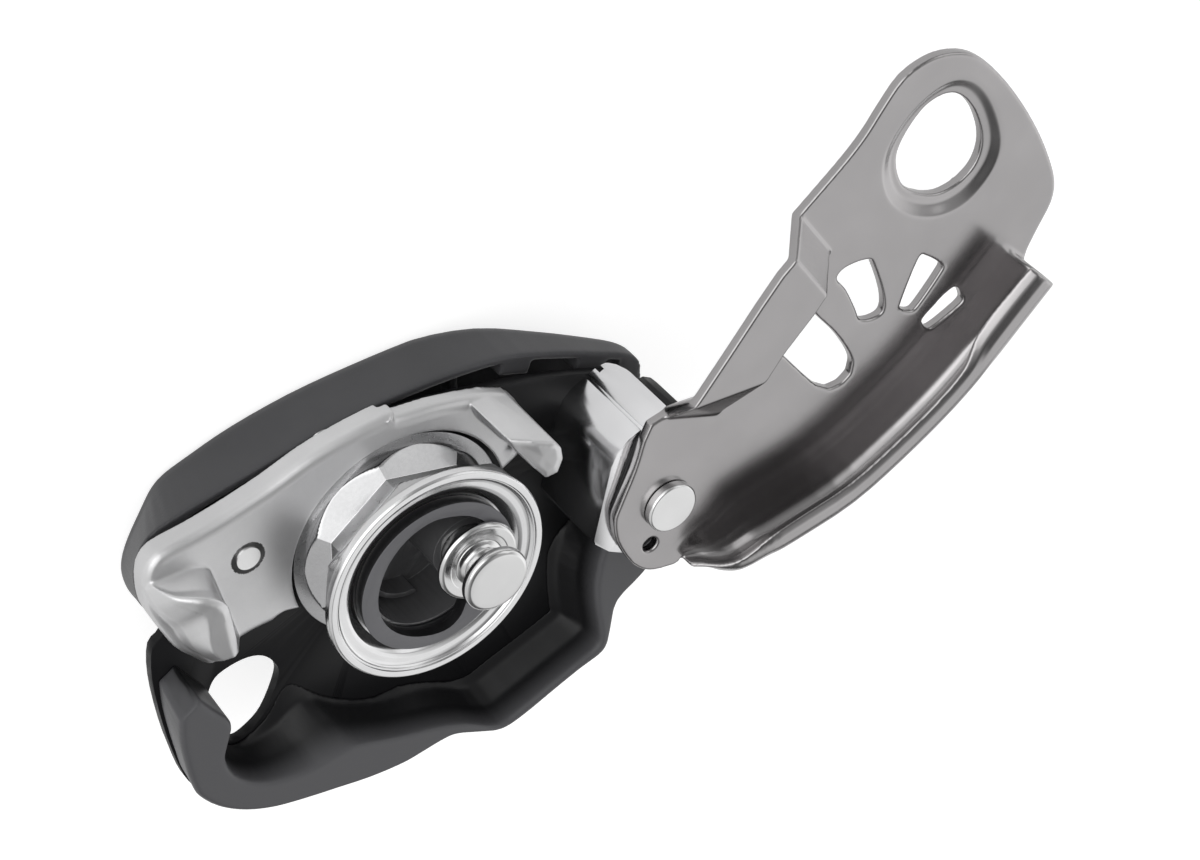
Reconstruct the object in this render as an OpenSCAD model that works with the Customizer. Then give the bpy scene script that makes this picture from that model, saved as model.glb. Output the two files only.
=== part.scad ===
// Assisted braking belay device, opened. All sizes in mm.
// Z points from the handle at the back to the open front.
// The origin is on the axis of the wheel, on the back plane.

/* [Side plates] */
// thickness of the fixed side plate
fixed_thickness = 1.8; // [1.4:0.1:2]
// thickness of the sheet of the moving side plate
sheet_thickness = 2; // [1.6:0.1:2.2]
// inside radius of the rolled finger lip at full height
lip_radius = 3; // [2.5:0.1:3.5]
// height by which the bridge over the slot is raised
bridge_rise = 6; // [5.9:0.1:6.5]

/* [Wheel] */
// radius over the polished rim
rim_radius = 20.9; // [20:0.1:21.2]
// number of flat faces in the rope groove
groove_faces = 7; // [6:1:9]
// distance from the axis to the middle of a flat face
groove_radius = 14.5; // [14.3:0.1:15]
// running clearance of the wheel on the cam
wheel_clearance = 0.05; // [0.02:0.01:0.1]

/* [Stud] */
// radius of the domed head
head_radius = 6.15; // [5.6:0.05:6.3]
// radius of the neck that the moving plate drops round
neck_radius = 3.2; // [2.8:0.1:3.4]
// radius of the shaft in the cam
shaft_radius = 4.5; // [4:0.1:4.6]
// running clearance of the cam and the lever on the shaft
shaft_clearance = 0.05; // [0.02:0.01:0.1]

/* [Hinge] */
// radius of the flat head of the hinge rivet
rivet_head_radius = 4.85; // [4.6:0.05:5.2]
// radius of the shank of the hinge rivet
rivet_shank_radius = 3; // [2.6:0.1:3.1]

/* [Handle] */
// depth of the handle from back face to front edge
handle_depth = 14.2; // [13.6:0.1:14.4]
// wall thickness of the handle shell
handle_wall = 2; // [1.6:0.1:2.4]

/* [Hidden] */
$fn = 64;
e = 0.01;
plate_z = 15.2;
floor_z = plate_z + fixed_thickness;
friction_z = 20.5;
rim_z = 32.6;
nose_z = 26.8;
block_z = 34;
pad_z = 34.6;
sheet_z = 34.7;
face_z = sheet_z + sheet_thickness;
lever_z = 8.6;
lever_thickness = 2.8;
stud = [6.35, -3.25];
rivet = [35.3, -25.7];
pin = [-24, 14];
drive = [-3.2, 2.2];
anchor = [14.6, 4.6];
small_rivets = [[-18.9, 23.7], [3, 24.6]];
cam_radius = groove_radius - 1.9;
bore_radius = cam_radius + 0.6;
seat_radius = cam_radius + 2.4;
rise = handle_depth - 14.2;
spring_wire = 0.7;
spring_top = plate_z - 0.1 - spring_wire / 2;
spring_start = atan2(anchor[1] - stud[1], anchor[0] - stud[0]) - 14;
spring_path = concat(
  [[anchor[0] - 1.9, anchor[1] + 1.4, spring_top],
    [anchor[0] - 1.7, anchor[1] - 1, spring_top]],
  [for (i = [0:18]) let (a = spring_start - 30 * i)
    [stud[0] + 6 * cos(a), stud[1] + 6 * sin(a), spring_top - 0.1 * i]],
  [[drive[0] + 3.1, drive[1] - 3, spring_top - 1.85],
    [drive[0] + 2.5, drive[1] + 1.2, spring_top - 1.85]]);
spring_gap = min([for (i = [0:len(spring_path) - 5],
    j = [i + 4:len(spring_path) - 1])
  norm(spring_path[i] - spring_path[j])]) - spring_wire;
echo(spring_gap = spring_gap);

// Curves through a few points, closed and open
function mid(a, b, c, d, t) = 0.5 * (2 * b + (c - a) * t
  + (2 * a - 5 * b + 4 * c - d) * t * t
  + (3 * b - a - 3 * c + d) * t * t * t);
function loop(p, n) = let (m = len(p)) [for (i = [0:m - 1], k = [0:n - 1])
  mid(p[(i + m - 1) % m], p[i], p[(i + 1) % m], p[(i + 2) % m], k / n)];
function run(p, n) = let (m = len(p)) concat(
  [for (i = [0:m - 2], k = [0:n - 1])
    mid(p[max(i - 1, 0)], p[i], p[i + 1], p[min(i + 2, m - 1)], k / n)],
  [p[m - 1]]);
function unit(v) = v / norm(v);
function bend(p, i) = let (m = len(p), a = p[i] - p[(i + m - 1) % m],
    b = p[(i + 1) % m] - p[i])
  acos(min(1, max(-1, a * b / norm(a) / norm(b))));
// Closed outline that is curved between points with a slight bend
function soft(p, n) = let (m = len(p)) [for (i = [0:m - 1])
  each bend(p, i) < 36 && bend(p, (i + 1) % m) < 36
    ? [for (k = [0:n - 1])
      mid(p[(i + m - 1) % m], p[i], p[(i + 1) % m], p[(i + 2) % m], k / n)]
    : [p[i]]];
function turn(v) = [v[1], -v[0]];
function inset(p, d) = let (m = len(p)) [for (i = [0:m - 1])
  p[i] - d * turn(unit(p[(i + 1) % m] - p[(i + m - 1) % m]))];
function lift(p, z) = [for (q = p) [q[0], q[1], z]];
function flat(v, i) = [v[i], v[i + 1]];
function arc(c, r, a, b, n) = [for (k = [0:n])
  c + r * [cos(a + (b - a) * k / n), sin(a + (b - a) * k / n)]];

// A solid through rings that all have the same number of points
module skin(rings) {
  n = len(rings[0]);
  m = len(rings);
  sides = [for (j = [0:m - 2], i = [0:n - 1], s = [0, 1]) s == 0
    ? [j * n + i, (j + 1) * n + i, j * n + (i + 1) % n]
    : [j * n + (i + 1) % n, (j + 1) * n + i, (j + 1) * n + (i + 1) % n]];
  polyhedron(
    points = [for (r = rings) each r],
    faces = concat(
      [[for (i = [0:n - 1]) i]],
      sides,
      [[for (i = [n - 1:-1:0]) (m - 1) * n + i]]));
}

// The same with both ends closed round a middle point
module capped_skin(rings) {
  n = len(rings[0]);
  m = len(rings);
  a = [for (k = [0:2]) [for (q = rings[0]) q[k]] * [for (q = rings[0]) 1] / n];
  b = [for (k = [0:2]) [for (q = rings[m - 1]) q[k]] * [for (q = rings[0]) 1] / n];
  sides = [for (j = [0:m - 2], i = [0:n - 1], s = [0, 1]) s == 0
    ? [j * n + i, (j + 1) * n + i, j * n + (i + 1) % n]
    : [j * n + (i + 1) % n, (j + 1) * n + i, (j + 1) * n + (i + 1) % n]];
  polyhedron(
    points = concat([for (r = rings) each r], [a, b]),
    faces = concat(
      [for (i = [0:n - 1]) [i, (i + 1) % n, m * n]],
      sides,
      [for (i = [0:n - 1])
        [(m - 1) * n + (i + 1) % n, (m - 1) * n + i, m * n + 1]]));
}

module tube(outer, inner, z, h) {
  translate([0, 0, z])
    difference() {
      cylinder(r = outer, h = h);
      translate([0, 0, -1])
        cylinder(r = inner, h = h + 2);
    }
}

module slab(p, z, h) {
  translate([0, 0, z])
    linear_extrude(h)
      polygon(p);
}

// Joins pressed shapes to one blank, before holes are cut in it
module one_blank() {
  resize([0, 0, 0])
    union()
      children();
}

// Moves the pieces in front of the handle with its depth
module raised() {
  translate([0, 0, rise])
    children();
}

module at(p, z = 0) {
  translate([p[0], p[1], z])
    children();
}

// Outlines of the fixed side
fixed_edge = [[-37.8, 22], [-41, 21.4], [-45.3, 16], [-50.3, 6.6],
  [-54.3, -2.9], [-56, -8.6], [-55.9, -12.8], [-54, -17], [-51, -20.6],
  [-46.5, -25], [-41.3, -29.3], [-36.2, -33.8], [-30.7, -37.6],
  [-23.2, -40.9], [-20.8, -42.6], [-17.8, -47], [-14.6, -51.2],
  [-3, -54.2], [8.8, -56.7], [17.2, -49.3], [24, -49], [33.5, -46.8],
  [42, -41.5], [44.6, -36], [44.6, -16], [43.6, -12.4], [36.6, -2.8],
  [28.8, 5.8], [20.9, 13.6], [14.6, 18.8], [8, 22.5], [0, 25.6],
  [-8, 27.8], [-16, 30.6], [-22, 33], [-28, 33.6], [-32, 31], [-35, 26.5]];
opening = [[-41, 4], [-38, 5], [-33.5, 3.2], [-31, 0.2], [-30.8, -3.9],
  [-32.5, -6.8], [-38.6, -10.5], [-43, -10.9], [-45.7, -9.9],
  [-46.4, -7], [-45, -2.5], [-43.3, 1.5]];

// Border of the moulding: outer foot, outer top, inner top, inner foot
border = [
  [-44.8, 15, -46.2, 14.5, -41.5, 14.5, -40.9, 14.8],
  [-47.8, 10.2, -49.6, 9.9, -41.5, 9.6, -40.9, 9.6],
  [-50.6, 4.6, -52.4, 4.6, -41.6, 4.6, -41.1, 4.6],
  [-52.6, 0.2, -54.2, 0.5, -44.3, 2, -43.9, 2],
  [-54.8, -5, -55.1, -3, -46.9, -0.3, -46.5, -2.5],
  [-55.2, -10, -54.6, -8.5, -48.3, -3.9, -47, -7.5],
  [-53.5, -15, -52.6, -14, -48.2, -8, -46.2, -10],
  [-50.5, -19.5, -49.3, -19, -46.7, -12, -44.5, -11],
  [-46, -24, -44.8, -23.6, -43.8, -15.5, -41.5, -11.3],
  [-41, -28.3, -40, -28, -40, -18.4, -38, -10.9],
  [-36, -32.8, -35.1, -32.4, -36.5, -20, -34.5, -9.2],
  [-30.5, -36.6, -29.8, -36.2, -33, -22, -31.6, -9.8],
  [-27, -38.2, -26.5, -37.8, -30.5, -24.8, -30, -18.5],
  [-23, -39.9, -22.6, -39.5, -26.5, -29.8, -26, -27.5],
  [-20.3, -41.8, -20, -41.3, -20.9, -36, -20.3, -34.5],
  [-17.5, -46, -17.2, -45.7, -17.5, -40.8, -16.8, -39.8],
  [-14.3, -50.3, -14.2, -50, -14, -48, -13.2, -46],
  [-9.5, -52, -9.5, -51.7, -9, -49.8, -8.5, -47.5],
  [-3, -53.2, -3, -52.9, -3, -51, -2.8, -48.8],
  [3, -54.4, 3, -54.1, 3, -52.2, 3, -50.2],
  [8.6, -55.6, 8.5, -55.3, 8.2, -53, 7.4, -50.8],
  [12.5, -52.5, 12.3, -52.2, 10.5, -50.3, 9.3, -49],
  [17, -48.4, 16.8, -48, 13.6, -44, 12.3, -43.5],
  [23.8, -48, 23.7, -47.7, 17.5, -38.5, 16.5, -38],
  [33, -46, 33, -45.6, 24.5, -33.4, 24.5, -33.4],
  [41.4, -40.8, 41.2, -40.6, 35, -34.8, 35, -34.8],
  [44, -36.8, 43.8, -36.7, 43, -35.4, 43, -35.4]];

function border_ring(s, h) = let (
    a = flat(s, 0), b = flat(s, 2), c = flat(s, 4), d = flat(s, 6),
    k = min(1, max(0, (d[0] + 27) / 7)) * min(1, max(0, (24 - d[0]) / 6)),
    g = d + 3.6 * k * unit(c - b),
    u = 0.7 * unit(c - b), m = g + 0.4 * (c - g),
    w = g + (0.72 + 0.16 * k) * (c - g)) [
  [g[0], g[1], floor_z],
  [m[0], m[1], floor_z + 0.1 * (h - floor_z)],
  [w[0], w[1], floor_z + 0.48 * (h - floor_z)],
  [c[0], c[1], h - 0.7],
  [c[0] - u[0], c[1] - u[1], h],
  [b[0] + u[0], b[1] + u[1], h],
  [b[0], b[1], h - 0.7],
  [a[0], a[1], floor_z]];

// Outlines of the friction plate
friction_edge = [[20.2, -8.1], [23.8, -4.8], [26.2, -4.6], [28.8, -2.6],
  [29.8, 0.2], [29.8, 4], [27.2, 8.4], [24.2, 12], [20, 16.3],
  [14.7, 20.8], [14.6, 22.2], [8, 25.9], [0, 29.2], [-8, 31.3],
  [-15.3, 33.8], [-21, 36.1], [-26, 38.5], [-28.5, 39.1], [-31, 38.2],
  [-33.5, 35.5], [-36, 31], [-37.5, 24.5], [-38.2, 20], [-37.8, 15.5],
  [-36.6, 10.8], [-30.6, 10.6], [-23.5, 6.6], [-21, 3.4]];

// Brake lip: inner foot, crest, outer shoulder, outer foot
lip = [
  [-31.4, 36, 20.4, -31.9, 36.2, 20.8, -32.3, 36, 20.6, -33.4, 35.2, 17.4],
  [-28.6, 34, 20.4, -30.6, 34.8, 25, -31.8, 34.2, 24.4, -35.6, 31, 17.4],
  [-25.8, 32, 20.4, -28, 32.6, 27.4, -30.4, 31.6, 26.6, -36.8, 27, 17.4],
  [-24.3, 29.4, 20.4, -26.3, 30.2, 28.2, -29.8, 29.2, 27.4, -37.3, 23.5, 17.4],
  [-24.9, 27, 20.4, -26, 27.4, 28.5, -30.8, 26.8, 27.6, -37.8, 20.5, 17.4],
  [-26.8, 21.6, 20.4, -27.6, 23.8, 28.5, -32.6, 24, 27.4, -37.5, 17.5, 17.4],
  [-28.8, 15.6, 20.4, -29.4, 20.4, 28.5, -33.8, 21.4, 27.4, -36.9, 14.4, 17.4],
  [-30.4, 11.2, 20.4, -31.2, 17.4, 28.3, -33.8, 18.4, 27.6, -36.2, 11.4, 17.4]];

function lip_ring(s) = let (
    f = [s[0], s[1], s[2]], c = [s[3], s[4], s[5]],
    w = [s[6], s[7], s[8]], o = [s[9], s[10], s[11]]) [
  f,
  f + 0.55 * (c - f) + [-0.7, -0.2, 0.5],
  c - [0, 0, 0.5],
  c + 0.3 * (w - c) + [0, 0, 0.2],
  w,
  w + 0.5 * (o - w) + [-0.6, 0.2, 0.8],
  o,
  0.5 * (f + o) - [0, 0, 0.2]];

// Handle: front edge, outer back edge, inner edge, then heights of
// the back, of the front edge and of the inner wall
grip = [
  [-37.6, 19.5, -38.6, 16.5, -37.8, 11.8, 0.6, 11, 5.5],
  [-37.2, 25.6, -38, 20.4, -34.6, 6.4, 0, 13, 6],
  [-35.6, 30.6, -36.2, 24.2, -30, 2.6, 0, 14.2, 6],
  [-32.6, 35, -32.8, 27.2, -25, -0.4, 0, 14.2, 6],
  [-27.5, 37.6, -27, 30.2, -19.5, -2.8, 0, 14.2, 6],
  [-21, 35.8, -21, 32.5, -14, -4.8, 0, 14.2, 6],
  [-14, 33, -14, 31.1, -8, -6.6, 0, 14.2, 6],
  [-6, 29.6, -6, 28.7, -1.8, -8.6, 0, 14.2, 6],
  [4.4, 25.3, 4.4, 24.2, 4, -10.8, 0, 14.2, 6],
  [14.5, 19.8, 14.5, 18.5, 10.6, -13.6, 0, 14.2, 6],
  [25, 12.9, 25, 11.8, 18, -17, 0, 14.2, 6],
  [34, 5.4, 34, 5, 25.5, -21.4, 2.4, 14.2, 6.6],
  [41, -3.9, 41, -4.3, 32.6, -25.6, 4.8, 14.2, 8],
  [46, -11.8, 46, -12.2, 39, -28.4, 6.4, 14.2, 9.6],
  [49, -17, 49, -17.3, 43.8, -29, 7.6, 14.2, 10.8],
  [49.8, -20, 49.8, -20.2, 46.6, -28.2, 8.2, 14.2, 11.6],
  [49.4, -22.6, 49.4, -22.8, 48, -26.4, 8.6, 13.8, 12.6]];

function grip_ring(s, t, f, e, up) = let (
    a = flat(s, 0), b = flat(s, 2), c = flat(s, 4),
    u = unit(c - b), v = unit(c - a), h = handle_depth / 14.2,
    z = max(s[6], 0) * h + f, r = min(e, 0.38 * norm(c - b)),
    p = a + t * v, q = b + t * u, w = c - t * u) [
  [w[0], w[1], s[8] * h + 2 * up],
  [w[0], w[1], z + r],
  [w[0] - 0.3 * r * u[0], w[1] - 0.3 * r * u[1], z + 0.3 * r],
  [w[0] - r * u[0], w[1] - r * u[1], z],
  [q[0] + r * u[0], q[1] + r * u[1], z],
  [q[0] + 0.3 * r * u[0], q[1] + 0.3 * r * u[1], z + 0.3 * r],
  [q[0], q[1], z + r],
  [p[0], p[1], s[7] * h + up]];

// Outlines of the moving side plate
sheet_edge = [[23.6, -29.3], [24.6, -23.2], [26.7, -19], [28.9, -17.2],
  [35.4, -13.1], [40, -9.4], [42.8, -7.8], [46.4, -9.2], [52.5, -18.2],
  [61.4, -14.6], [65.6, -14.4], [66.6, -17.5], [67.2, -21],
  [67.5, -27], [68, -33], [69.2, -36.2], [71.4, -37.6], [73.6, -37.4],
  [75.2, -35.6], [76, -32], [76.3, -26], [75.9, -19], [76.3, -12.6],
  [79.5, -11.2], [84.3, -9.7], [84.3, 2.4], [90, 2.9], [97, 3.6],
  [102, 4.6], [107, 6.3], [112.6, 7.7], [118, 6.3], [121.8, 3.2],
  [124.4, -1], [125.8, -7], [126.4, -16.5], [125.9, -27], [124.6, -35.5],
  [122.9, -41.4], [120.2, -44.8], [115.9, -47.1], [111.7, -49.4],
  [108.9, -51.8], [108.9, -42], [101, -43], [90, -45], [80, -46],
  [70, -45.6], [60, -44.4], [51, -40.9], [44, -38.3], [38.3, -37.9],
  [34.5, -37.1], [31.5, -37.1], [29.5, -39.7], [28.4, -39.2],
  [25.3, -36.2], [23.9, -33.2]];
eye = loop([[102.9, -8], [105.2, -5.1], [109.5, -3.2], [113.6, -2.8],
  [117.1, -4.5], [118.8, -7.6], [119.1, -12.4], [117.9, -17.8],
  [116, -21.1], [113.1, -23.1], [109.4, -23.2], [105.6, -21.3],
  [102.8, -17.2], [101.7, -12.7]], 4);
eye_rim = loop([[99.4, -6.6], [102.8, -2.2], [108.2, 0], [114.3, 0],
  [119.1, -2], [121.8, -6.4], [122.2, -12.2], [120.8, -19.2],
  [118.4, -23.9], [114.2, -26.6], [108.2, -27.2], [103, -24.4],
  [99.4, -19], [98, -12.7]], 4);
windows = [
  [[82.7, -16.4], [85.1, -16.1], [88.9, -18.9], [88.9, -21.3],
    [87.2, -27.8], [85.4, -31.4], [83.6, -31.6], [81.2, -29],
    [81.8, -25.7], [82.7, -20.3]],
  [[95.6, -28.8], [96.9, -29.6], [98.1, -34.5], [97.2, -35.7],
    [90.3, -37.7], [88.8, -37.3], [87.8, -35], [88.7, -33.6]],
  [[90, -41.4], [97.2, -41.5], [97.3, -45.4], [96, -46.1],
    [89.6, -44.9], [89.1, -42.2]]];

// Rolled lip: start of the curve, size, angle at which the sheet ends
roll = [
  [30.2, -38.2, 0.1, 110], [32.8, -38.2, 0.38, 100],
  [35.2, -38.6, 0.62, 88], [38.3, -39.2, 0.82, 76],
  [44, -39.6, 0.97, 64], [51, -42.2, 1, 60], [60, -45.6, 1, 60],
  [70, -46.9, 1, 60], [80, -47.3, 1, 60], [87, -46.9, 1, 58],
  [90.5, -46.3, 1, 48], [94, -45.7, 1, 34], [101, -44.4, 1, 32],
  [108.7, -43, 1, 36]];

function roll_side(s, t) = let (
    k = s[2], c = [0, 11 * k],
    d = c + (11 - lip_radius) * k * [cos(-125), sin(-125)]) concat(
  [[2.5, -t]],
  arc(c, 11 * k + t, -90, -125, 3),
  arc(d, lip_radius * k + t, -145, s[3] - 360, 8));
function roll_ring(s, g) = let (
    a = roll_side(s, -0.05),
    b = roll_side(s, sheet_thickness + 0.05),
    n = len(a)) [
  for (q = concat(a, [for (i = [n - 1:-1:0]) b[i]]))
    [s[0] - g[0] * q[0], s[1] - g[1] * q[0], face_z + q[1]]];

// Fixed body
module fixed_plate() {
  color("#2b2b2d")
    raised()
    difference() {
      slab(loop(fixed_edge, 3), plate_z, fixed_thickness);
      slab(loop(opening, 4), plate_z - 1, 4);
      at(stud, plate_z - 1)
        cylinder(r = 5.5, h = 4);
      at(rivet, plate_z - 1)
        cylinder(r = rivet_shank_radius, h = 4);
      at(rivet, plate_z - e)
        cylinder(r1 = 4.4, r2 = rivet_shank_radius, h = 1.3);
      at(anchor, plate_z - 1)
        cylinder(r = 1.2, h = 4);
      for (p = small_rivets)
        at(p, plate_z - 1)
          cylinder(r = 1.6, h = 4);
      for (p = small_rivets)
        at(p, plate_z - e)
          cylinder(r1 = 2.6, r2 = 1.6, h = 1);
      for (p = moulding_points)
        at(p, plate_z - 1)
          cylinder(r = 1.4, h = 4);
      for (p = moulding_points)
        at(p, plate_z - e)
          cylinder(r1 = 2.4, r2 = 1.4, h = 1);
      drive_slot();
    }
}

moulding_points = [[-50, -9], [-36, -27], [22, -43.5], [-3, -51.6]];

// Curved slot that the drive pin runs in
module drive_slot() {
  r = norm(drive - stud);
  a = atan2(drive[1] - stud[1], drive[0] - stud[0]);
  w = 2.5;
  slab(concat(
    arc(stud, r + w, a - 17, a + 9, 10),
    arc(stud + r * [cos(a + 9), sin(a + 9)], w, a + 24, a + 174, 8),
    arc(stud, r - w, a + 9, a - 17, 10),
    arc(stud + r * [cos(a - 17), sin(a - 17)], w, a + 178, a + 328, 8)),
    plate_z - 1, 4);
}

module body_moulding() {
  color("#4d4d50")
    raised()
    difference() {
      capped_skin([for (s = run(border, 3)) border_ring(s, nose_z)]);
      for (p = moulding_points)
        at(p, floor_z - 1)
          cylinder(r = 1.4, h = 3.4);
    }
}

module moulding_rivets() {
  color("#8f9194")
    raised()
    for (p = moulding_points)
      at(p) {
        translate([0, 0, plate_z])
          cylinder(r1 = 2.33, r2 = 1.35, h = 0.98);
        translate([0, 0, plate_z + 0.9])
          cylinder(r = 1.35, h = 2.9);
      }
}

module friction_plate() {
  color("#c9cacc")
    raised()
    difference() {
      one_blank() {
        friction_sheet();
        capped_skin([for (s = run(lip, 4)) lip_ring(s)]);
        horn();
      }
      translate([0, 0, 10])
        cylinder(r = 21, h = 30);
      translate([0, 0, 10])
        cylinder(r = 22.6, h = 9.75);
      at(small_rivets[0], 10)
        cylinder(r = 1.6, h = 20);
      at(small_rivets[1], 10)
        cylinder(r = 1.6, h = 9.6);
      at(small_rivets[0], 20.1)
        cylinder(r = 2.9, h = 2);
    }
}

// The flat part, whose edge is turned down over the fixed plate
module friction_sheet() {
  n = 4;
  edge = loop(friction_edge, n);
  inner = inset(edge, 2.6);
  difference() {
    skin([lift(edge, 16), lift(edge, 19), lift(inset(edge, 0.35), 19.8),
      lift(inset(edge, 1), 20.3), lift(inset(edge, 1.9), friction_z)]);
    slab(concat([for (i = [10 * n:21 * n]) inner[i]],
      [[-60, 22.5], [-60, -40], [60, -40], [60, 30], [14.3, 30]]),
      floor_z - 9, 9);
  }
}

module horn() {
  foot = [[23.7, 8], [23.8, 0], [24.1, -3.7], [26.3, -4.2], [28.7, -2.6],
    [29.8, 0], [29.8, 4.4], [27.2, 8.6], [24.3, 11.6]];
  top = [[24, 5, 30.2], [24, 0, 31.4], [24.2, -3.3, 31.9],
    [26.2, -3.9, 32.4], [28.5, -2.4, 32.4], [29.7, 0, 32.4],
    [29.7, 2, 32.3], [27.2, 5.4, 31.4], [24.5, 8, 29.6]];
  ring = [for (i = [0:8]) foot[i] + 0.85
    * ([top[i][0], top[i][1]] - foot[i])];
  capped_skin([lift(foot, floor_z), [for (i = [0:8])
    [ring[i][0], ring[i][1], floor_z + 0.85 * (top[i][2] - floor_z)]],
    top, [for (p = top) [26.7, 2, 32] + 0.7 * (p - [26.7, 2, 32])
      + [0, 0, 0.35]]]);
}

module friction_rivets() {
  color("#b9babc")
    raised()
    for (i = [0, 1])
      at(small_rivets[i]) {
        translate([0, 0, plate_z])
          cylinder(r1 = 2.53, r2 = 1.55, h = 0.98);
        translate([0, 0, plate_z + 0.9])
          cylinder(r = 1.55, h = i == 0 ? 4.2 : 3.4);
        if (i == 0)
          translate([0, 0, 20.1])
            cylinder(r1 = 2.45, r2 = 2.2, h = 0.6);
      }
}

block_edge = [[21.6, -22.6], [22, -21.6], [33, -11.2], [35.6, -9.7],
  [38.4, -9.3], [41, -9.8], [41.1, -10.4], [41.6, -10.4], [41.7, -9.9],
  [45.6, -10.4], [47, -11.6], [47, -34.4], [27, -32.4], [24, -30.2],
  [22.3, -26.6]];

module hinge_block() {
  color("#d4d5d7")
    raised()
    difference() {
      slab(block_edge, floor_z, block_z - floor_z);
      translate([43.6, -9, 0])
        rotate([90, 0, 0])
          linear_extrude(30)
            polygon([[0, 16], [0, 17.01], [1.6, 17.6], [2.7, 19],
              [3.3, 21], [3.5, 23.4], [8, 23.4], [8, 16]]);
      translate([43.3, -15, 16])
        cube([1, 8, 2.4]);
      at(rivet, 10)
        cylinder(r = rivet_shank_radius, h = 40);
    }
}

module hinge_sleeve() {
  color("#29292b")
    raised()
    skin([
      lift([[47, -12.4], [48, -12.9], [48.8, -14.6], [48.8, -33],
        [47, -34]], 23.4),
      lift([[47, -12], [48, -12.3], [48.9, -13.6], [48.9, -33],
        [47, -34]], 26),
      lift([[47, -11.6], [48, -11.9], [48.9, -13], [48.9, -33],
        [47, -34]], 34)]);
}

module hinge_pad() {
  p = [[24.2, -29], [25, -23.6], [27, -19.4], [35.4, -13.4],
    [39.6, -10.6], [44, -10.6], [46.6, -12.4], [46.6, -33.8],
    [27.2, -32], [25, -30.6]];
  color("#232325")
    raised()
    difference() {
      slab(p, block_z, pad_z - block_z);
      at(rivet, 30)
        cylinder(r = rivet_shank_radius, h = 10);
    }
}

module hinge_rivet() {
  color("#e2e3e5")
    raised()
    at(rivet) {
      translate([0, 0, plate_z])
        cylinder(r1 = 4.4, r2 = rivet_shank_radius, h = 1.3);
      translate([0, 0, plate_z + 1.2])
        cylinder(r = rivet_shank_radius, h = face_z + 0.3 - plate_z - 1.2);
      translate([0, 0, face_z + 0.1])
        cylinder(r = rivet_head_radius, h = 1.4);
      translate([0, 0, face_z + 1.5])
        cylinder(r1 = rivet_head_radius, r2 = rivet_head_radius - 0.3,
          h = 0.25);
    }
}

module axle() {
  color("#d9dadc")
    raised()
    at(stud)
      rotate_extrude()
        polygon([[0, 6.6], [shaft_radius - 0.4, 6.6], [shaft_radius, 7],
          [shaft_radius, 7.3], [shaft_radius - 0.8, 7.3],
          [shaft_radius - 0.8, 8.3], [shaft_radius, 8.3],
          [shaft_radius, plate_z], [5.5, plate_z], [5.5, floor_z],
          [shaft_radius, floor_z], [shaft_radius, 34.1],
          [neck_radius + 0.9, 34.35], [neck_radius, 35],
          [neck_radius, 36.7], [neck_radius + 0.5, 37.3],
          [head_radius - 0.35, 38.1], [head_radius, 38.4],
          [head_radius, 39.3], [head_radius - 0.3, 39.8],
          [head_radius - 1, 40.1], [0, 40.3]]);
}

module axle_collar() {
  color("#d9dadc")
    raised()
    at(stud)
      difference() {
        rotate_extrude()
          polygon([[3, 33.05], [7.4, 33.05], [7.65, 33.3], [7.65, 33.7],
            [7.3, 34.1], [6.9, 34.3], [3, 34.3]]);
        translate([0, 0, 30])
          cylinder(r = shaft_radius, h = 10);
      }
}

module spring_post() {
  color("#9fa1a4")
    raised()
    at(anchor) {
      translate([0, 0, 11.8])
        cylinder(r = 1.2, h = floor_z - 11.8);
    }
}

// Cam and lever, turning together on the axle
module cam() {
  color("#1f1f21")
    raised()
    difference() {
      union() {
        translate([0, 0, 17.3])
          cylinder(r = seat_radius + 1, h = 0.9);
        translate([0, 0, 18.1])
          cylinder(r = cam_radius, h = 12.1);
      }
      difference() {
        translate([0, 0, 19.8])
          cylinder(r = cam_radius - 1.4, h = 20);
        at(stud)
          cylinder(r = 6.1, h = 29.4);
        cam_rib();
      }
      at(stud, 10)
        cylinder(r = shaft_radius + shaft_clearance, h = 30);
      at(drive, 10)
        cylinder(r = 2, h = 20);
    }
}

// Curved web inside the hollow of the cam
module cam_rib() {
  at([-1, -1])
    difference() {
      cylinder(r = 9, h = 24);
      translate([0, 0, -1])
        cylinder(r = 8, h = 40);
      translate([-4, -20, -1])
        cube([30, 40, 40]);
    }
}

// D-shaped opening of the cover ring
cover_edge = [[8.2, 9.2], [5.5, 11.3], [1.1, 12.3], [-3.6, 11.4],
  [-7.6, 8.9], [-10.3, 5.7], [-11.7, 1.9], [-11.8, -2.1],
  [-10.6, -6], [-8.2, -9.5], [-5.5, -11.4], [-2.6, -11.3],
  [0.6, -9.4], [4, -8.8], [8.2, -8], [11, -4.8], [12, 0.6],
  [11, 5.2]];

module cam_cover() {
  color("#55565a")
    raised()
    difference() {
      rotate_extrude()
        polygon([[0, 30.2], [seat_radius - 0.4, 30.2],
          [seat_radius - 0.4, 31.4], [seat_radius - 0.6, 32.6],
          [seat_radius - 0.7, 32.7], [0, 32.7]]);
      slab(loop(cover_edge, 3), 30.7, 4);
      intersection() {
        slab(loop(cover_edge, 3), 29, 4);
        translate([0, 0, 30])
          cylinder(r = cam_radius - 1, h = 2);
      }
      at(stud, 29)
        cylinder(r = shaft_radius + 0.4, h = 5);
    }
}

module drive_pin() {
  color("#9fa1a4")
    raised()
    at(drive, lever_z)
      cylinder(r = 2, h = 19.8 - lever_z);
}

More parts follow.
